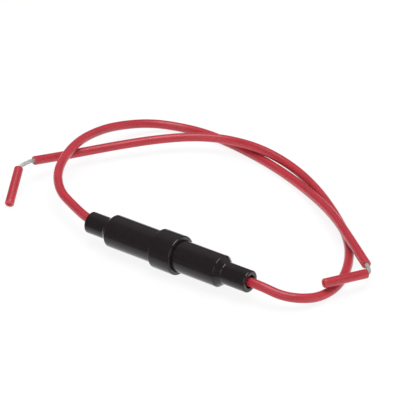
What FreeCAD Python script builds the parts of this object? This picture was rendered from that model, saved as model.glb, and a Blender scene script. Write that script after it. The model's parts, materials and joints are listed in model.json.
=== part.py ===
import FreeCAD, Part
import os
from math import cos, pi, sin, tan

# In-line fuse holder, lying on its collar. X runs along the holder, from the
# collar half at -X to the plug half at +X. Z is up and the floor is z = 0.
# The origin is on the floor, under the middle of the two screwed halves.
# All sizes are in millimetres.

# The two moulded halves. Their diameters follow from what they hold and from these walls:
# 7.5 at the necks, 11.2 and 10.8 at the barrels and 13.5 at the collar.
collar_wall = 1.25
collar_length = 8.8
collar_barrel_wall = 1.9
collar_barrel_length = 21.45
plug_barrel_wall = 1.7
plug_barrel_length = 18.85
neck_wall = 1.5
collar_neck_length = 8.15
plug_neck_length = 9.5
end_wall = 2.4
shoulder_slope = 2.0
shoulder_round = 0.4
collar_round = 0.6
neck_round = 0.5
root_round = 0.4
lip_round = 0.25

# The screwed joint: a spigot on the plug half in a socket in the collar
socket_depth = 7.6
mouth_recess_depth = 1.0
barrel_entry = 0.6
spigot_wall = 1.1
thread_height = 0.45
thread_clearance = 0.1
recess_clearance = 0.1
nose_gap = 0.05
spigot_chamfer = 0.4
relief_width = 0.8
relief_depth = 0.2

# The glass fuse, 1/4 by 1-1/4 inch
fuse_diameter = 6.35
fuse_length = 31.75
cap_length = 6.4
cap_wall = 0.2
cap_end = 0.3
glass_wall = 0.6
glass_clearance = 0.05
solder_depth = 1.2
element_diameter = 0.35

# The contacts: a cup round each fuse cap, and a ferrule for the lead
cup_clearance = 0.05
cup_wall = 0.325
cup_base = 0.4
cup_depth = 4.0
ferrule_diameter = 3.4
ferrule_length = 4.9
chamber_clearance = 0.15

# The spring, compressed between the plug-side contact and the plug half
spring_clearance = 0.3
spring_wire = 0.6
spring_turns = 6
spring_corners = 12
end_turn_gap = 0.05

# The leads: red insulation over tinned strands
lead_diameter = 3.1
lead_clearance = 0.7
strand_diameter = 1.5
strand_clearance = 0.05
strip_gap = 0.4
tail_gap = 0.1
slug_grip = 6.0
arc_share = 0.45

# The leads' routes, from just outside each ferrule to the cut end. The first
# point of each is worked out from its ferrule, and the rest are chosen by hand.
collar_lead_points = [
    (-34.9, 0.6, 6.95), (-45.0, 4.6, 7.4), (-55.0, 8.9, 8.3), (-65.1, 19.9, 9.1),
    (-72.4, 38.3, 9.3), (-74.8, 54.6, 7.8), (-73.3, 67.3, 5.8), (-69.0, 76.9, 3.8),
    (-61.5, 82.5, 2.2), (-49.5, 84.8, 1.65), (-33.1, 82.7, 1.65), (-14.6, 78.1, 1.65),
    (3.7, 70.9, 1.9), (23.9, 57.4, 4.3), (39.7, 45.4, 5.4), (54.7, 34.5, 5.3),
]
plug_lead_points = [
    (25.6, 0.1, 6.75), (38.2, 0.0, 6.65), (44.6, 1.7, 4.7), (49.9, 5.8, 2.8),
    (52.9, 12.9, 1.85), (52.3, 23.4, 1.65), (46.7, 36.2, 1.65), (37.6, 49.5, 1.65),
    (24.0, 62.9, 1.65), (6.8, 75.4, 1.8), (-8.6, 80.9, 3.7), (-22.6, 81.1, 5.3),
    (-36.8, 79.9, 5.3), (-47.5, 74.6, 5.2), (-56.4, 65.8, 5.1), (-63.6, 54.9, 5.1),
    (-70.3, 43.6, 5.0), (-75.3, 33.2, 5.3), (-77.2, 21.8, 7.6),
]

# The insulation slugs pulled half off the ends: the end towards the lead, then the tip
collar_slug_ends = [(57.8, 30.1, 4.9), (52.1, 14.6, 6.2)]
plug_slug_ends = [(-78.1, 14.5, 7.0), (-70.5, 0.7, 1.5)]
strand_lead_out = 2.3
strand_lead_in = 1.2

# Places along the holder that follow from the sizes
overall_length = (collar_neck_length + collar_barrel_length + collar_length
                  + plug_barrel_length + plug_neck_length)
collar_end = -overall_length / 2
collar_shoulder = collar_end + collar_neck_length
collar_start = collar_shoulder + collar_barrel_length
mouth = collar_start + collar_length
plug_shoulder = mouth + plug_barrel_length
plug_end = plug_shoulder + plug_neck_length

cup_bore_radius = fuse_diameter / 2 + cup_clearance
cup_radius = cup_bore_radius + cup_wall
chamber_radius = cup_radius + chamber_clearance
collar_barrel_radius = chamber_radius + collar_barrel_wall
plug_barrel_radius = chamber_radius + plug_barrel_wall
neck_bore_radius = lead_diameter / 2 + lead_clearance
neck_radius = neck_bore_radius + neck_wall
spigot_radius = chamber_radius + spigot_wall
socket_radius = spigot_radius + thread_height + thread_clearance
recess_radius = plug_barrel_radius + recess_clearance
collar_radius = recess_radius + collar_wall
axis_height = collar_radius

collar_seat = collar_shoulder + end_wall
plug_seat = plug_shoulder - end_wall
socket_floor = mouth - socket_depth
spigot_nose = socket_floor + nose_gap
spigot_root = mouth - barrel_entry
fuse_start = collar_seat + cup_base
fuse_end = fuse_start + fuse_length
spring_start = fuse_end + cup_base
collar_ferrule_mouth = collar_seat - ferrule_length
plug_ferrule_mouth = spring_start + ferrule_length
strand_bore_radius = strand_diameter / 2 + strand_clearance

line_start = FreeCAD.Vector(0, 0, axis_height)
along = FreeCAD.Vector(1, 0, 0)


def turned(outline):
    """The solid that an outline of (place, radius) pairs sweeps round the holder's axis."""
    corners = [FreeCAD.Vector(x, 0, axis_height + r) for x, r in outline]
    face = Part.Face(Part.makePolygon(corners + corners[:1]))
    return face.revolve(line_start, along, 360)


def rounded(shape, place, radius, size):
    """The shape with its circular edge at that place and radius rounded."""
    def is_it(edge):
        curve = edge.Curve
        return (isinstance(curve, Part.Circle) and abs(curve.Center.x - place) < 1e-4
                and abs(curve.Radius - radius) < 1e-4)
    return shape.makeFillet(size, [edge for edge in shape.Edges if is_it(edge)])


def moulded_half(outline, rounds):
    half = turned(outline)
    for place, radius, size in rounds:
        half = rounded(half, place, radius, size)
    return half.Solids[0]


def collar_half():
    """The long half: neck, barrel, and the collar that takes the plug half's spigot."""
    slope_end = collar_shoulder + shoulder_slope
    outline = [
        (collar_end, neck_bore_radius), (collar_end, neck_radius),
        (collar_shoulder, neck_radius), (slope_end, collar_barrel_radius),
        (collar_start, collar_barrel_radius), (collar_start, collar_radius),
        (mouth, collar_radius), (mouth, recess_radius),
        (mouth - mouth_recess_depth, recess_radius), (mouth - mouth_recess_depth, socket_radius),
        (socket_floor, socket_radius), (socket_floor, chamber_radius),
        (collar_seat, chamber_radius), (collar_seat, neck_bore_radius),
    ]
    rounds = [
        (collar_end, neck_radius, neck_round), (collar_end, neck_bore_radius, lip_round),
        (slope_end, collar_barrel_radius, shoulder_round), (collar_shoulder, neck_radius, root_round),
        (collar_start, collar_radius, collar_round), (collar_start, collar_barrel_radius, root_round),
        (mouth, collar_radius, collar_round), (mouth, recess_radius, lip_round),
    ]
    return moulded_half(outline, rounds)


def plug_half():
    """The short half: threaded spigot, barrel and neck."""
    relief = spigot_radius - relief_depth
    slope_start = plug_shoulder - shoulder_slope
    outline = [
        (spigot_nose, chamber_radius), (spigot_nose, spigot_radius - spigot_chamfer),
        (spigot_nose + spigot_chamfer, spigot_radius), (spigot_root - relief_width, spigot_radius),
        (spigot_root - relief_width, relief), (spigot_root, relief),
        (spigot_root, plug_barrel_radius), (slope_start, plug_barrel_radius),
        (plug_shoulder, neck_radius), (plug_end, neck_radius),
        (plug_end, neck_bore_radius), (plug_seat, neck_bore_radius),
        (plug_seat, chamber_radius),
    ]
    rounds = [
        (spigot_root, plug_barrel_radius, lip_round), (slope_start, plug_barrel_radius, shoulder_round),
        (plug_shoulder, neck_radius, root_round), (plug_end, neck_radius, neck_round),
        (plug_end, neck_bore_radius, lip_round),
    ]
    return moulded_half(outline, rounds)


def contact(seat, way):
    """A cup that opens towards the fuse from its base at the seat, with a ferrule behind.
    way is 1 where the fuse lies towards +X, and -1 where it lies towards -X."""
    outline = [
        (0, 0), (0, strand_bore_radius), (-ferrule_length, strand_bore_radius),
        (-ferrule_length, ferrule_diameter / 2), (0, ferrule_diameter / 2),
        (0, cup_radius), (cup_base + cup_depth, cup_radius),
        (cup_base + cup_depth, cup_bore_radius), (cup_base, cup_bore_radius), (cup_base, 0),
    ]
    return turned([(seat + way * x, r) for x, r in outline])


def fuse_cap(end, way):
    """One pressed cap of the fuse; its closed end is at that place and it opens along way."""
    inside = fuse_diameter / 2 - cap_wall
    outline = [
        (0, 0), (0, fuse_diameter / 2), (cap_length, fuse_diameter / 2),
        (cap_length, inside), (cap_end, inside), (cap_end, 0),
    ]
    cap = turned([(end + way * x, r) for x, r in outline])
    return rounded(cap, end, fuse_diameter / 2, cap_wall).Solids[0]


def rod(start, end, radius, bore=0.0):
    """A round bar or tube between two places on the holder's axis."""
    return turned([(start, bore), (start, radius), (end, radius), (end, bore)])


def fuse_pieces():
    glass_radius = fuse_diameter / 2 - cap_wall - glass_clearance
    glass_bore = glass_radius - glass_wall
    first, last = fuse_start + cap_end, fuse_end - cap_end
    solder_radius = glass_bore - glass_clearance
    return {
        "collar_end_fuse_cap": fuse_cap(fuse_start, 1),
        "plug_end_fuse_cap": fuse_cap(fuse_end, -1),
        "fuse_glass_tube": rod(first, last, glass_radius, glass_bore),
        "collar_end_solder": rod(first, first + solder_depth, solder_radius),
        "plug_end_solder": rod(last - solder_depth, last, solder_radius),
        "fuse_element": rod(first + solder_depth, last - solder_depth, element_diameter / 2),
    }


def route_wire(points):
    """Straight runs joined by tangent arcs, each as large as its two runs allow."""
    spots = [FreeCAD.Vector(*point) for point in points]
    edges, radii, last = [], [], spots[0]
    for before, spot, after in zip(spots, spots[1:], spots[2:]):
        back, on = before - spot, after - spot
        reach = arc_share * min(back.Length, on.Length)
        half_turn = back.getAngle(-on) / 2
        radii.append(reach / tan(half_turn))
        back.normalize()
        on.normalize()
        first, second = spot + back * reach, spot + on * reach
        inward = back + on
        inward.normalize()
        to_centre = (radii[-1] ** 2 + reach ** 2) ** 0.5
        middle = spot + inward * (to_centre - radii[-1])
        edges.append(Part.LineSegment(last, first).toShape())
        edges.append(Part.Arc(first, middle, second).toShape())
        last = second
    edges.append(Part.LineSegment(last, spots[-1]).toShape())
    return Part.Wire(edges), radii


def cord(name, points, diameter):
    """A round cord along its route, with its volume held against section times length."""
    path, radii = route_wire(points)
    start, second = FreeCAD.Vector(*points[0]), FreeCAD.Vector(*points[1])
    section = Part.Wire([Part.Circle(start, second - start, diameter / 2).toShape()])
    solid = path.makePipeShell([section], True, False)
    expected = pi * diameter ** 2 / 4 * path.Length
    print(name, "length", round(path.Length, 1), "radii", [round(r, 1) for r in radii],
          "volume share", round(solid.Volume / expected, 5), "valid", solid.isValid())
    return solid


def contact_spring():
    """A compression spring between the contact and its seat, with a closed turn at each end."""
    middle_radius = chamber_radius - spring_clearance - spring_wire / 2
    rise = plug_seat - spring_start - spring_wire
    end_rise = spring_wire + end_turn_gap
    open_rise = (rise - 2 * end_rise) / (spring_turns - 2)
    points = []
    for corner in range(spring_turns * spring_corners + 1):
        turn = corner / spring_corners
        open_turns = min(max(turn - 1, 0), spring_turns - 2)
        height = open_turns * open_rise + (turn - open_turns) * end_rise
        angle = 2 * pi * turn
        points.append((spring_start + spring_wire / 2 + height,
                       middle_radius * cos(angle), axis_height + middle_radius * sin(angle)))
    return cord("contact_spring", points, spring_wire)


def slug(ends):
    """The short hollow length of insulation that is pulled half off the strands."""
    start, tip = (FreeCAD.Vector(*end) for end in ends)
    way = tip - start
    outside = Part.makeCylinder(lead_diameter / 2, way.Length, start, way)
    return outside.cut(Part.makeCylinder(strand_bore_radius, way.Length, start, way)).Solids[0]


def bare_strands(name, lead_points, slug_ends):
    """The tinned strands between the lead's cut end and the slug, and on into its bore."""
    before, cut = (FreeCAD.Vector(*point) for point in lead_points[-2:])
    start, tip = (FreeCAD.Vector(*end) for end in slug_ends)
    out, into = cut - before, tip - start
    out.normalize()
    into.normalize()
    spots = [cut, cut + out * strand_lead_out, start - into * strand_lead_in,
             start + into * slug_grip]
    return cord(name, [tuple(spot) for spot in spots], strand_diameter)


def lead(name, ferrule_mouth, way, points, slug_ends):
    """One lead with all that is on it; way is the direction in which it leaves its ferrule."""
    start = ferrule_mouth + way * strip_gap
    tail_end = start - way * tail_gap
    blind = ferrule_mouth - way * ferrule_length
    route = [(start, 0.0, axis_height)] + points
    return {
        name + "_insulation": cord(name + "_insulation", route, lead_diameter),
        name + "_conductor_tail": rod(min(tail_end, blind), max(tail_end, blind),
                                        strand_diameter / 2),
        name + "_bare_strands": bare_strands(name + "_bare_strands", points, slug_ends),
        name + "_insulation_slug": slug(slug_ends),
    }


pieces = {
    "collar_half": collar_half(),
    "plug_half": plug_half(),
    "collar_side_contact": contact(collar_seat, 1),
    "plug_side_contact": contact(spring_start, -1),
    "contact_spring": contact_spring(),
}
pieces.update(fuse_pieces())
pieces.update(lead("collar_lead", collar_ferrule_mouth, -1, collar_lead_points, collar_slug_ends))
pieces.update(lead("plug_lead", plug_ferrule_mouth, 1, plug_lead_points, plug_slug_ends))

os.makedirs("parts", exist_ok=True)
for name, shape in pieces.items():
    shape.exportStep("parts/" + name + ".step")
    box = shape.BoundBox
    print(name, shape.ShapeType, len(shape.Solids), "solid, valid", shape.isValid(),
          "volume", round(shape.Volume, 2), "lowest", round(box.ZMin, 2))
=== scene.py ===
import json
import math

import bmesh
import bpy
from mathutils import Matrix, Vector


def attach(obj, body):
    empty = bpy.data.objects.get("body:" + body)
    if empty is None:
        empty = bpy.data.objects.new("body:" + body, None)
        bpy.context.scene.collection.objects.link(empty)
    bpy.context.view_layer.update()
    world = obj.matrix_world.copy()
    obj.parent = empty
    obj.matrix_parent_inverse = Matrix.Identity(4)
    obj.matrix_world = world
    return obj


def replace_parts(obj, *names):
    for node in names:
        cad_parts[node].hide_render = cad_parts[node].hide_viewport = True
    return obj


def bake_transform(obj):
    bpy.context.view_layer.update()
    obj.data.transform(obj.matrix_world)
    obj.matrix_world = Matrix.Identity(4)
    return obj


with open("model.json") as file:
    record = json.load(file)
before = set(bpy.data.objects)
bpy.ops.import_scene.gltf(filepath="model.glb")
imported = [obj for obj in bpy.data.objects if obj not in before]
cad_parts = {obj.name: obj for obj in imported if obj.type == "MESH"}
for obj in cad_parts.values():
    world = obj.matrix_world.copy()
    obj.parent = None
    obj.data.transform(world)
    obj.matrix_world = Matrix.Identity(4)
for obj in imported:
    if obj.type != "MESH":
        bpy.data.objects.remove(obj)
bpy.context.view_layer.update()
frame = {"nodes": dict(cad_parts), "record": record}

mm = 0.001
axisHeight = 6.75 * mm


class Track:
    # a line to sweep along, with a side direction that is carried on without twist
    def __init__(self, points):
        self.points = [Vector(point) for point in points]
        self.gone = [0.0]
        for near, far in zip(self.points, self.points[1:]):
            self.gone.append(self.gone[-1] + (far - near).length)
        self.length = self.gone[-1]
        self.ways = [(far - near).normalized() for near, far in zip(self.points, self.points[1:])]
        self.ways.append(self.ways[-1])
        side = self.ways[0].orthogonal().normalized()
        self.sides = []
        for way in self.ways:
            side = (side - way * side.dot(way)).normalized()
            self.sides.append(side)

    def at(self, distance):
        # centre, side and up directions; beyond its ends the line goes straight on
        low, high = 0, len(self.gone) - 2
        while low < high:
            middle = (low + high + 1) // 2
            low, high = (middle, high) if self.gone[middle] <= distance else (low, middle - 1)
        way = (self.points[low + 1] - self.points[low]).normalized()
        centre = self.points[low] + way * (distance - self.gone[low])
        share = min(max((distance - self.gone[low]) / (self.gone[low + 1] - self.gone[low]), 0), 1)
        along = self.ways[low].lerp(self.ways[low + 1], share).normalized()
        side = self.sides[low].lerp(self.sides[low + 1], share)
        side = (side - along * side.dot(along)).normalized()
        return centre, side, along.cross(side)


def splineTrack(name, points, resolution):
    # the points that the smooth spline itself gives
    curve = bpy.data.curves.new(name, "CURVE")
    curve.dimensions = "3D"
    spline = curve.splines.new("NURBS")
    spline.points.add(len(points) - 1)
    for spot, point in zip(spline.points, points):
        spot.co = (*point, 1.0)
    spline.order_u = 3
    spline.use_endpoint_u = True
    spline.resolution_u = resolution
    curve.resolution_u = resolution
    holder = bpy.data.objects.new(name, curve)
    bpy.context.scene.collection.objects.link(holder)
    bpy.context.view_layer.update()
    line = bpy.data.meshes.new_from_object(holder)
    track = Track([vertex.co.copy() for vertex in line.vertices])
    bpy.data.objects.remove(holder)
    bpy.data.curves.remove(curve)
    bpy.data.meshes.remove(line)
    return track


class Skin:
    # gathers rings of points into one mesh, and keeps for each point its angle and distance
    # along the piece, and whether it is on a cut face
    def __init__(self):
        self.mesh = bmesh.new()
        self.lay = self.mesh.verts.layers.float_vector.new("lay")
        self.cut = self.mesh.verts.layers.float.new("cut")

    def ring(self, places, distance, cut=0.0):
        made = []
        for angle, place in places:
            vertex = self.mesh.verts.new(place)
            vertex[self.lay] = Vector((math.cos(angle), math.sin(angle), distance / mm))
            vertex[self.cut] = cut
            made.append(vertex)
        return made

    def join(self, rings, closed=False):
        # an open run of rings gets a flat cap at each end
        for near, far in zip(rings, rings[1:] + rings[:1] if closed else rings[1:]):
            for step in range(len(near)):
                after = (step + 1) % len(near)
                self.mesh.faces.new((near[step], near[after], far[after], far[step]))
        if not closed:
            self.mesh.faces.new(list(reversed(rings[0])))
            self.mesh.faces.new(rings[-1])

    def tube(self, track, stations, sides, shape=None, cutAt=()):
        # stations are (distance, radius); shape(angle, distance) scales the radius
        rings = []
        for index, (distance, radius) in enumerate(stations):
            centre, side, up = track.at(distance)
            places = []
            for step in range(sides):
                angle = 2 * math.pi * step / sides
                reach = radius * (shape(angle, distance) if shape else 1.0)
                places.append((angle, centre + (side * math.cos(angle) + up * math.sin(angle)) * reach))
            rings.append(self.ring(places, distance, 1.0 if index in cutAt else 0.0))
        self.join(rings)

    def finish(self, name, body, slot, sharp=40):
        # edges that turn by more than sharp degrees stay crisp
        bmesh.ops.recalc_face_normals(self.mesh, faces=self.mesh.faces[:])
        for face in self.mesh.faces:
            face.smooth = True
        for edge in self.mesh.edges:
            edge.smooth = edge.calc_face_angle(0.0) < math.radians(sharp)
        data = bpy.data.meshes.new(name)
        self.mesh.to_mesh(data)
        self.mesh.free()
        data.materials.append(finishes[slot])
        piece = bpy.data.objects.new(name, data)
        bpy.context.scene.collection.objects.link(piece)
        if body:
            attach(piece, body)
        return piece


class Number:
    # a socket's value, whose sums add their own Math nodes
    def __init__(self, paint, socket):
        self.paint, self.socket = paint, socket

    def maths(self, operation, first, second):
        found = self.paint.node("ShaderNodeMath", {"operation": operation}, {0: first, 1: second})
        return Number(self.paint, found.outputs[0])

    def __add__(self, other): return self.maths("ADD", self, other)
    def __radd__(self, other): return self.maths("ADD", other, self)
    def __sub__(self, other): return self.maths("SUBTRACT", self, other)
    def __rsub__(self, other): return self.maths("SUBTRACT", other, self)
    def __mul__(self, other): return self.maths("MULTIPLY", self, other)
    def __rmul__(self, other): return self.maths("MULTIPLY", other, self)


class Paint:
    # the nodes of one procedural material, or of the world
    def __init__(self, owner, shader, **sockets):
        owner.use_nodes = True
        self.owner, self.tree = owner, owner.node_tree
        self.shader = self.tree.nodes[shader]
        self.show(**sockets)

    def give(self, node, sockets):
        for key, value in sockets.items():
            if isinstance(value, Number):
                value = value.socket
            if isinstance(value, bpy.types.NodeSocket):
                self.tree.links.new(value, node.inputs[key])
            else:
                node.inputs[key].default_value = value

    def node(self, kind, settings=None, sockets=None):
        made = self.tree.nodes.new(kind)
        for key, value in (settings or {}).items():
            setattr(made, key, value)
        self.give(made, sockets or {})
        return made

    def place(self):
        return self.node("ShaderNodeTexCoord").outputs["Object"]

    def lay(self):
        return self.node("ShaderNodeAttribute", {"attribute_name": "lay"}).outputs["Vector"]

    def cut(self):
        return Number(self, self.node("ShaderNodeAttribute", {"attribute_name": "cut"}).outputs["Fac"])

    def stretched(self, vector, scale):
        return self.node("ShaderNodeVectorMath", {"operation": "MULTIPLY"}, {0: vector, 1: scale}).outputs[0]

    def part(self, vector, axis):
        return Number(self, self.node("ShaderNodeSeparateXYZ", {}, {0: vector}).outputs[axis])

    def ray(self, kind):
        return Number(self, self.node("ShaderNodeLightPath").outputs[kind])

    def noise(self, vector, scale, detail, roughness):
        found = self.node("ShaderNodeTexNoise", {},
                          {"Vector": vector, "Scale": scale, "Detail": detail, "Roughness": roughness})
        return Number(self, found.outputs["Fac"])

    def spread(self, value, low, high, least=0.0, most=1.0):
        # the part of value from low to high, as least to most
        found = self.node("ShaderNodeMapRange", {"clamp": True},
                          {"Value": value, "From Min": low, "From Max": high, "To Min": least, "To Max": most})
        return Number(self, found.outputs["Result"])

    def colour(self, share, first, second):
        return self.node("ShaderNodeMix", {"data_type": "RGBA"}, {0: share, 6: first, 7: second}).outputs[2]

    def bump(self, height, strength, distance):
        found = self.node("ShaderNodeBump", {}, {"Height": height, "Strength": strength, "Distance": distance})
        return found.outputs["Normal"]

    def show(self, **sockets):
        self.give(self.shader, {key.replace("_", " "): value for key, value in sockets.items()})
        return self.owner


def opaque(red, green, blue):
    return (red, green, blue, 1.0)


def newPaint(name, **sockets):
    return Paint(bpy.data.materials.new(name), "Principled BSDF", **sockets)


# The finishes. A noise is its scale, detail and roughness, and a range is the part of it that shows.
def blackPlastic():
    look = {"colour": opaque(0.0146, 0.0108, 0.0124), "worn": opaque(0.0190, 0.0145, 0.0160), "index": 1.55,
            "gloss": 0.04, "cloud": 0.04, "scuff": 0.05,
            "cloudNoise": (260.0, 3.0, 0.55), "grainNoise": (5200.0, 2.0, 0.5),
            "scuffNoise": (1.0, 4.0, 0.6), "scuffStretch": (220.0, 3200.0, 3200.0), "scuffRange": (0.52, 0.75),
            "grainRise": 0.4, "cloudRise": 1.2, "bump": 0.12, "bumpDepth": 0.04 * mm}
    paint = newPaint("blackPlastic", IOR=look["index"])
    place = paint.place()
    cloud = paint.noise(place, *look["cloudNoise"])
    streaks = paint.noise(paint.stretched(place, look["scuffStretch"]), *look["scuffNoise"])
    scuff = paint.spread(streaks, *look["scuffRange"])
    grain = paint.noise(place, *look["grainNoise"])
    rise = grain * look["grainRise"] + cloud * look["cloudRise"]
    return paint.show(
        Base_Color=paint.colour(cloud, look["colour"], look["worn"]),
        Roughness=look["gloss"] + cloud * look["cloud"] + scuff * look["scuff"],
        Normal=paint.bump(rise, look["bump"], look["bumpDepth"]))


def redInsulation():
    look = {"colour": opaque(0.56, 0.041, 0.059), "deep": opaque(0.38, 0.025, 0.038),
            "cut": opaque(0.62, 0.075, 0.085), "index": 1.5, "gloss": 0.24, "streak": 0.12, "cutRough": 0.3,
            "streakNoise": (1.0, 3.0, 0.6), "streakStretch": (3.2, 3.2, 0.05),
            "cloudNoise": (1.0, 3.0, 0.5), "cloudStretch": (0.8, 0.8, 0.09),
            "grainNoise": (1.0, 2.0, 0.5), "grainStretch": (14.0, 14.0, 3.0),
            "cloudShare": 0.6, "streakShare": 0.4, "deepRange": (0.3, 0.7),
            "streakRise": 0.8, "grainRise": 0.12, "cutRise": 1.5, "bump": 0.18, "bumpDepth": 0.06 * mm}
    paint = newPaint("redInsulation", IOR=look["index"])
    lay = paint.lay()
    cut = paint.cut()
    streak = paint.noise(paint.stretched(lay, look["streakStretch"]), *look["streakNoise"])
    cloud = paint.noise(paint.stretched(lay, look["cloudStretch"]), *look["cloudNoise"])
    grain = paint.noise(paint.stretched(lay, look["grainStretch"]), *look["grainNoise"])
    depth = paint.spread(cloud * look["cloudShare"] + streak * look["streakShare"], *look["deepRange"])
    body = paint.colour(depth, look["deep"], look["colour"])
    rise = streak * look["streakRise"] + grain * look["grainRise"] + cut * grain * look["cutRise"]
    return paint.show(
        Base_Color=paint.colour(cut, body, look["cut"]),
        Roughness=look["gloss"] + streak * look["streak"] + cut * look["cutRough"],
        Normal=paint.bump(rise, look["bump"], look["bumpDepth"]))


def fuseGlass():
    look = {"clear": opaque(0.97, 0.99, 0.98), "tint": opaque(0.93, 0.97, 0.95), "index": 1.5,
            "gloss": 0.02, "cloud": 0.04, "cloudNoise": (320.0, 3.0, 0.5), "bump": 0.1, "bumpDepth": 0.03 * mm}
    paint = newPaint("fuseGlass", IOR=look["index"], Transmission_Weight=1.0)
    cloud = paint.noise(paint.place(), *look["cloudNoise"])
    return paint.show(
        Base_Color=paint.colour(cloud, look["clear"], look["tint"]),
        Roughness=look["gloss"] + cloud * look["cloud"],
        Normal=paint.bump(cloud, look["bump"], look["bumpDepth"]))


metals = {
    "tinned_copper": {"name": "tinnedCopper", "colour": opaque(0.62, 0.65, 0.63),
                      "tarnish": opaque(0.42, 0.45, 0.43), "metallic": 0.5,
                      "gloss": 0.36, "spread": 0.12, "scale": 2400.0, "bump": 0.1},
    "contact_metal": {"name": "nickelledBrass", "colour": opaque(0.72, 0.66, 0.53),
                      "tarnish": opaque(0.55, 0.47, 0.33), "metallic": 1.0,
                      "gloss": 0.22, "spread": 0.22, "scale": 1500.0, "bump": 0.2},
    "cap_metal": {"name": "nickelPlate", "colour": opaque(0.74, 0.71, 0.66),
                  "tarnish": opaque(0.60, 0.56, 0.50), "metallic": 1.0,
                  "gloss": 0.14, "spread": 0.2, "scale": 1300.0, "bump": 0.2},
    "solder": {"name": "solder", "colour": opaque(0.60, 0.60, 0.60),
               "tarnish": opaque(0.38, 0.38, 0.39), "metallic": 1.0,
               "gloss": 0.32, "spread": 0.3, "scale": 2600.0, "bump": 0.6},
    "element_metal": {"name": "elementWire", "colour": opaque(0.78, 0.74, 0.68),
                      "tarnish": opaque(0.55, 0.50, 0.43), "metallic": 1.0,
                      "gloss": 0.22, "spread": 0.2, "scale": 3000.0, "bump": 0.2},
    "spring_steel": {"name": "springSteel", "colour": opaque(0.60, 0.59, 0.57),
                     "tarnish": opaque(0.42, 0.40, 0.37), "metallic": 1.0,
                     "gloss": 0.22, "spread": 0.24, "scale": 2600.0, "bump": 0.2},
}
metalWear = {"cloudNoise": (0.25, 3.0, 0.6), "markNoise": (2.0, 4.0, 0.6), "tarnishRange": (0.35, 0.75),
             "bumpDepth": 0.03 * mm}


def metal(look):
    paint = newPaint(look["name"], Metallic=look["metallic"])
    vector = paint.stretched(paint.place(), (look["scale"],) * 3)
    cloud = paint.noise(vector, *metalWear["cloudNoise"])
    marks = paint.noise(vector, *metalWear["markNoise"])
    tarnished = paint.spread(cloud, *metalWear["tarnishRange"])
    return paint.show(
        Base_Color=paint.colour(tarnished, look["colour"], look["tarnish"]),
        Roughness=look["gloss"] + marks * look["spread"],
        Normal=paint.bump(marks, look["bump"], metalWear["bumpDepth"]))


finishes = {"black_plastic": blackPlastic(), "red_insulation": redInsulation(), "fuse_glass": fuseGlass()}
finishes.update({slot: metal(look) for slot, look in metals.items()})
for row in frame["record"]["subparts"]:
    node = frame["nodes"][row["node"]]
    node.data.materials.clear()
    node.data.materials.append(finishes[row["material_slot"]])
    for face in node.data.polygons:
        face.use_smooth = True
print("materials:", len(finishes))


def roundAxis(place, radius, angle):
    # a point round the holder's axis, which runs along X
    return Vector((place, radius * math.cos(angle), axisHeight + radius * math.sin(angle)))


def outline(corners, steps):
    # the corners are (place, radius, rounding) in millimetres; each rounding becomes an arc
    points = []
    for i, (place, radius, size) in enumerate(corners):
        spot = Vector((place, radius))
        if size == 0:
            points.append(spot)
            continue
        back = (Vector(corners[i - 1][:2]) - spot).normalized()
        on = (Vector(corners[(i + 1) % len(corners)][:2]) - spot).normalized()
        half = back.angle(on) / 2
        centre = spot + (back + on).normalized() * size / math.sin(half)
        first = spot + back * size / math.tan(half) - centre
        last = spot + on * size / math.tan(half) - centre
        for step in range(steps + 1):
            points.append(centre + first.lerp(last, step / steps).normalized() * size)
    return [point * mm for point in points]


# The two moulded halves, turned from the same outlines as the solids, with finer roundings
moulded = {"sides": 128, "roundSteps": 7, "sharp": 30}
halves = {
    "collarHalf": {"node": "collar_half", "body": "holder", "corners": [
        (-33.375, 2.25, 0.25), (-33.375, 3.75, 0.5), (-25.225, 3.75, 1.6), (-23.225, 5.6, 0.6),
        (-3.775, 5.6, 0.7), (-3.775, 6.75, 0.43), (5.025, 6.75, 0.5), (5.025, 5.5, 0.12),
        (4.025, 5.5, 0), (4.025, 5.35, 0), (-2.575, 5.35, 0), (-2.575, 3.7, 0),
        (-22.825, 3.7, 0), (-22.825, 2.25, 0)]},
    "plugHalf": {"node": "plug_half", "body": "plug", "corners": [
        (-2.525, 3.7, 0), (-2.525, 4.4, 0), (-2.125, 4.8, 0), (3.625, 4.8, 0), (3.625, 4.6, 0), (4.425, 4.6, 0),
        (4.425, 5.4, 0.12), (21.875, 5.4, 0.4), (23.875, 3.75, 0.6), (33.375, 3.75, 0.5),
        (33.375, 2.25, 0.25), (21.475, 2.25, 0), (21.475, 3.7, 0)]},
}
for name, facts in halves.items():
    skin = Skin()
    angles = [2 * math.pi * step / moulded["sides"] for step in range(moulded["sides"])]
    skin.join([skin.ring([(angle, roundAxis(place, radius, angle)) for angle in angles], place)
               for place, radius in outline(facts["corners"], moulded["roundSteps"])], True)
    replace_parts(skin.finish(name, facts["body"], "black_plastic", moulded["sharp"]), facts["node"])
print("halves:", len(halves))


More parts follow.
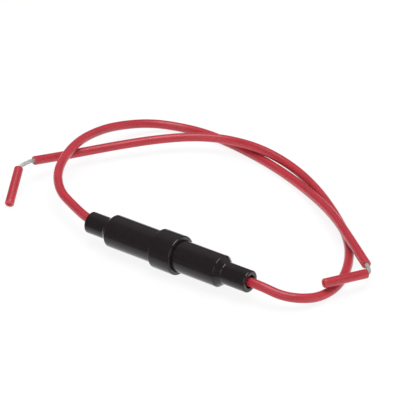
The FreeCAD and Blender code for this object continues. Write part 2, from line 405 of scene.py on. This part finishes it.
# The screw thread between the halves. Both ridges follow one right-hand helix, half a pitch apart.
screw = {"pitch": 1.5 * mm, "base": 0.75 * mm, "crest": 0.30 * mm, "sunk": 0.04 * mm,
         "steps": 48, "fade": 0.35, "least": 0.08, "sharp": 30}
threads = {
    "spigotThread": {"body": "plug", "first": -1.75 * mm, "last": 3.2 * mm, "root": 4.8 * mm,
                     "height": 0.45 * mm, "way": 1, "datum": -1.75 * mm},
    "socketThread": {"body": "holder", "first": -2.1 * mm, "last": 3.6 * mm, "root": 5.35 * mm,
                     "height": 0.40 * mm, "way": -1, "datum": -1.0 * mm},
}
for name, facts in threads.items():
    skin = Skin()
    turns = (facts["last"] - facts["first"]) / screw["pitch"]
    count = round(turns * screw["steps"])
    rings = []
    for i in range(count + 1):
        turned = turns * i / count
        place = facts["first"] + screw["pitch"] * turned
        angle = 2 * math.pi * (place - facts["datum"]) / screw["pitch"]
        share = max(min(1.0, turned / screw["fade"], (turns - turned) / screw["fade"]), screw["least"])
        foot = facts["root"] - facts["way"] * screw["sunk"]
        top = facts["root"] + facts["way"] * facts["height"] * share
        places = [(angle, roundAxis(place + offset, radius, angle))
                  for offset, radius in ((-screw["base"] / 2, foot), (-screw["crest"] / 2, top),
                                         (screw["crest"] / 2, top), (screw["base"] / 2, foot))]
        rings.append(skin.ring(places, place))
    skin.join(rings)
    skin.finish(name, facts["body"], "black_plastic", screw["sharp"])
print("threads:", len(threads))


# The spring, with a closed turn at each end. It stretches between the contact and the plug half's seat.
spring = {"first": 10.025 * mm, "last": 21.175 * mm, "radius": 3.1 * mm, "wire": 0.3 * mm,
          "turns": 6, "closedRise": 0.65 * mm, "soften": 0.1, "steps": 40, "sides": 16,
          "stations": 240, "chamfer": 0.06 * mm, "contactEnd": 9.725 * mm, "seatEnd": 21.475 * mm}


def springPlace(turn):
    # a closed turn rises by little more than the wire, and the open ones share the rest
    openRise = (spring["last"] - spring["first"] - 2 * spring["closedRise"]) / (spring["turns"] - 2)
    openTurns = min(max(turn - 1, 0), spring["turns"] - 2)
    return spring["first"] + openTurns * openRise + (turn - openTurns) * spring["closedRise"]


def softPlace(turn):
    # the mean of three places, so that the rise changes without a kink
    soften = spring["soften"]
    return (springPlace(turn - soften) + springPlace(turn) + springPlace(turn + soften)) / 3


coil = Track([roundAxis(softPlace(turn), spring["radius"], 2 * math.pi * turn)
              for turn in (i / spring["steps"] for i in range(spring["turns"] * spring["steps"] + 1))])
edge, wire, count = spring["chamfer"], spring["wire"], spring["stations"]
middle = [(edge + (coil.length - 2 * edge) * i / count, wire) for i in range(count + 1)]
skin = Skin()
skin.tube(coil, [(0.0, wire - edge)] + middle + [(coil.length, wire - edge)], spring["sides"])
springPiece = skin.finish("spring", None, "spring_steel")
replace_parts(springPiece, "contact_spring")
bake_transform(springPiece)
print("spring:", round(coil.length, 4))


# The two leads, each a tube of insulation, bare strands and the slug of insulation on them
lead = {"radius": 1.58 * mm, "bore": 0.80 * mm, "boreDepth": 0.4 * mm, "rimRound": 0.10 * mm,
        "boreEdge": 0.5, "rimCorner": 0.3, "cutRings": 4, "sides": 40, "step": 0.7 * mm, "resolution": 24,
        "oval": 0.0048, "ovalTurn": 0.03, "swell": 0.3, "swellPace": 0.21,
        "slowSwell": 0.6, "slowPace": 0.083}
strands = {"radius": 0.15 * mm, "rows": ((1, 0.0), (6, 0.28 * mm), (12, 0.56 * mm)), "sides": 10,
           "twist": 60.0, "rowTurn": 0.5, "loosen": 0.02, "loosePart": 0.62, "looseStep": 2.4,
           "step": 0.35 * mm, "resolution": 16, "inside": 1.3 * mm, "outside": 2.3 * mm,
           "beforeSlug": 1.2 * mm, "intoSlug": 2.0 * mm, "end": 5.8 * mm}
leads = {
    "collarLead": {
        "nodes": "collar_lead", "start": (-28.125, 0, 6.75), "exit": (-33.375, 0, 6.75), "length": 242.2 * mm,
        "phase": 10.0, "slugPhase": 12.0,
        "route": [
            (-34.9, 0.6, 6.95), (-45.0, 4.6, 7.4), (-55.0, 8.9, 8.3), (-65.1, 19.9, 9.1),
            (-72.7, 38.0, 9.3), (-74.8, 54.6, 7.6), (-73.3, 67.3, 5.2), (-69.0, 76.9, 3.3),
            (-61.5, 82.5, 2.0), (-49.5, 84.8, 1.85), (-33.1, 82.7, 1.9), (-14.6, 78.1, 2.0),
            (3.7, 70.9, 2.2), (24.3, 57.9, 4.8), (40.0, 45.7, 5.6), (54.7, 34.5, 5.3)],
        "slug": [(57.8, 30.1, 4.9), (52.1, 14.6, 6.2)]},
    "plugLead": {
        "nodes": "plug_lead", "start": (15.025, 0, 6.75), "exit": (33.375, 0, 6.75), "length": 243.3 * mm,
        "phase": 8.0, "slugPhase": 10.0,
        "route": [
            (25.6, 0.1, 6.75), (38.2, 0.0, 6.65), (44.6, 1.7, 4.7), (49.9, 5.8, 3.6),
            (52.2, 13.2, 1.9), (52.0, 23.3, 1.65), (46.7, 36.2, 1.65), (37.6, 49.4, 1.65),
            (24.0, 61.4, 1.65), (7.0, 73.7, 1.7), (-8.2, 80.4, 3.0), (-22.6, 81.1, 5.5),
            (-36.8, 79.9, 5.45), (-47.5, 74.6, 5.35), (-56.4, 65.8, 5.1), (-63.6, 54.9, 5.1),
            (-70.3, 43.6, 5.0), (-75.3, 33.2, 5.3), (-77.2, 21.8, 7.6)],
        "slug": [(-78.1, 14.5, 7.0), (-70.5, 0.7, 1.5)]},
}


def metres(points):
    return [Vector(point) * mm for point in points]


def leadStations(length):
    # up one bore, over its rim, along the outside, and over the other rim into its bore
    rim, outer, bore, depth = lead["rimRound"], lead["radius"], lead["bore"], lead["boreDepth"]
    corner = rim * lead["rimCorner"]
    start = [(depth, bore), (rim, bore), (0.0, bore + rim * lead["boreEdge"]), (0.0, outer - rim),
             (corner, outer - corner), (rim, outer)]
    count = max(2, round((length - 2 * rim) / lead["step"]))
    middle = [(rim + (length - 2 * rim) * i / count, outer) for i in range(1, count)]
    end = [(length - distance, radius) for distance, radius in reversed(start)]
    stations = start + middle + end
    cutRings = [*range(lead["cutRings"]), *range(len(stations) - lead["cutRings"], len(stations))]
    return stations, cutRings


def unround(phase):
    # the insulation is slightly oval, and the oval swells and turns along the lead
    def shape(angle, distance):
        along = distance / mm
        slow = lead["slowSwell"] * math.sin(along * lead["slowPace"] + 2 * phase)
        swell = 1 + (math.sin(along * lead["swellPace"] + phase) + slow) * lead["swell"]
        return 1.0 + lead["oval"] * math.cos(2 * angle + phase + along * lead["ovalTurn"]) * swell
    return shape


def leadTube(name, track, phase):
    skin = Skin()
    stations, cutRings = leadStations(track.length)
    skin.tube(track, stations, lead["sides"], unround(phase), cutRings)
    return skin.finish(name, "holder", "red_insulation")


def strandBundle(name, points):
    # twisted rows of strands, which stray a little where nothing holds them
    track = splineTrack(name + "Line", points, strands["resolution"])
    skin = Skin()
    count = round(track.length / strands["step"])
    for row, (number, reach) in enumerate(strands["rows"]):
        for which in range(number):
            spots = []
            for i in range(count + 1):
                share = i / count
                distance = track.length * share
                centre, side, up = track.at(distance)
                free = max(0.0, math.sin(math.pi * min(share / strands["loosePart"], 1.0)))
                stray = 1 + strands["loosen"] * free * (1 + math.sin(which * strands["looseStep"] + row))
                angle = 2 * math.pi * which / number + distance * strands["twist"] + row * strands["rowTurn"]
                spots.append(centre + (side * math.cos(angle) + up * math.sin(angle)) * reach * stray)
            line = Track(spots)
            skin.tube(line, [(line.length * i / count, strands["radius"]) for i in range(count + 1)],
                      strands["sides"])
    return skin.finish(name, "holder", "tinned_copper")


for name, facts in leads.items():
    nodes = facts["nodes"]
    track = splineTrack(name + "Line", metres([facts["start"]] + facts["route"]), lead["resolution"])
    cord = leadTube(name, track, facts["phase"])
    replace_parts(cord, nodes + "_insulation")

    slugStart, slugTip = metres(facts["slug"])
    slugPiece = leadTube(name + "Slug", Track([slugStart, slugTip]), facts["slugPhase"])
    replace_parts(slugPiece, nodes + "_insulation_slug")

    before, cutPlace = metres(facts["route"][-2:])
    out = (cutPlace - before).normalized()
    into = (slugTip - slugStart).normalized()
    bundle = strandBundle(name + "Strands", [
        cutPlace - out * strands["inside"], cutPlace, cutPlace + out * strands["outside"],
        slugStart - into * strands["beforeSlug"], slugStart + into * strands["intoSlug"],
        slugStart + into * strands["end"]])
    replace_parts(bundle, nodes + "_bare_strands")
    print(name, "spline", round(track.length, 4), "tube", facts["length"])


# The white floor, one soft lamp, a dim room and the camera
view = {"azimuth": 37.77, "elevation": 27.714, "distance": 0.950, "aim": (-0.01676, 0.0422, 0.0001),
        "lens": 240.4, "sensor": 36.0, "farthest": 50.0}
studio = {"floorSize": 6.0, "floor": opaque(0.98, 0.98, 0.98), "white": opaque(1.0, 1.0, 1.0),
          "black": opaque(0.0, 0.0, 0.0), "shown": 0.88,
          "dimFront": 0.12, "dimTo": -0.022, "brightFrom": -0.003,
          "zenith": 0.45, "horizon": 1.0, "skyRange": (0.1, 0.7), "dimRoom": 0.06,
          "panels": [{"towards": (-0.54, 0.49, 0.68), "range": (0.80, 0.97), "gain": 0.14},
                     {"towards": (0.54, 0.70, 0.465), "range": (0.75, 0.95), "gain": 0.25},
                     {"towards": (0.25, -0.87, 0.44), "range": (0.87, 0.94), "gain": 1.0}],
          "lampPower": 10.6, "lampSize": 0.9, "lampWay": (0.05, 0.02, 1.0), "lampDistance": 1.2}

turn, tilt = math.radians(view["azimuth"]), math.radians(view["elevation"])
looking = Vector((-math.sin(turn) * math.cos(tilt), math.cos(turn) * math.cos(tilt), -math.sin(tilt)))
camera = bpy.data.objects.new("camera", bpy.data.cameras.new("camera"))
camera.data.lens = view["lens"]
camera.data.sensor_width = view["sensor"]
camera.data.clip_end = view["farthest"]
camera.location = Vector(view["aim"]) - looking * view["distance"]
camera.rotation_euler = looking.to_track_quat("-Z", "Y").to_euler()
bpy.context.scene.collection.objects.link(camera)
bpy.context.scene.camera = camera

floorMesh = bpy.data.meshes.new("floor")
half = studio["floorSize"] / 2
floorMesh.from_pydata([(-half, -half, 0), (half, -half, 0), (half, half, 0), (-half, half, 0)],
                      [], [(0, 1, 2, 3)])
floor = bpy.data.objects.new("floor", floorMesh)
bpy.context.scene.collection.objects.link(floor)

# The floor shows white to the camera and through glass, with the object's shadow kept.
# Glossy surfaces mirror it as white too, but for the part in front of the object, which is dim.
floorPaint = newPaint("floor", Roughness=1.0, Specular_IOR_Level=0.0, Emission_Strength=1.0)
mirrored = floorPaint.ray("Is Glossy Ray")
shown = (floorPaint.ray("Is Camera Ray") + floorPaint.ray("Is Transmission Ray")) * studio["shown"] + mirrored
depth = floorPaint.part(floorPaint.place(), "Y")
reach = floorPaint.spread(depth, studio["dimTo"], studio["brightFrom"], studio["dimFront"], 1.0)
level = reach * mirrored + (1.0 - mirrored)
floorMesh.materials.append(floorPaint.show(
    Base_Color=floorPaint.colour(shown, studio["floor"], studio["black"]),
    Emission_Color=floorPaint.colour(shown * level, studio["black"], studio["white"])))

lamp = bpy.data.objects.new("softbox", bpy.data.lights.new("softbox", "AREA"))
lamp.data.energy = studio["lampPower"]
lamp.data.size = studio["lampSize"]
lampWay = Vector(studio["lampWay"]).normalized()
lamp.location = Vector(view["aim"]) + lampWay * studio["lampDistance"]
lamp.rotation_euler = (-lampWay).to_track_quat("-Z", "Y").to_euler()
bpy.context.scene.collection.objects.link(lamp)

# The sky lights the scene. Glossy surfaces mirror a dim room with three soft panels instead.
world = bpy.data.worlds.new("room")
bpy.context.scene.world = world
room = Paint(world, "Background", Strength=1.0)
way = room.node("ShaderNodeTexCoord").outputs["Generated"]
sky = room.spread(room.part(way, "Z"), *studio["skyRange"], studio["horizon"], studio["zenith"])
seen = studio["dimRoom"]
for panel in studio["panels"]:
    facing = room.node("ShaderNodeVectorMath", {"operation": "DOT_PRODUCT"}, {0: way, 1: panel["towards"]})
    seen = seen + room.spread(Number(room, facing.outputs["Value"]), *panel["range"], 0.0, panel["gain"])
mirrored = room.ray("Is Glossy Ray")
light = seen * mirrored + sky * (1.0 - mirrored)
room.show(Color=room.colour(light, studio["black"], studio["white"]))

bpy.context.scene.view_settings.view_transform = "Standard"
print("studio set")
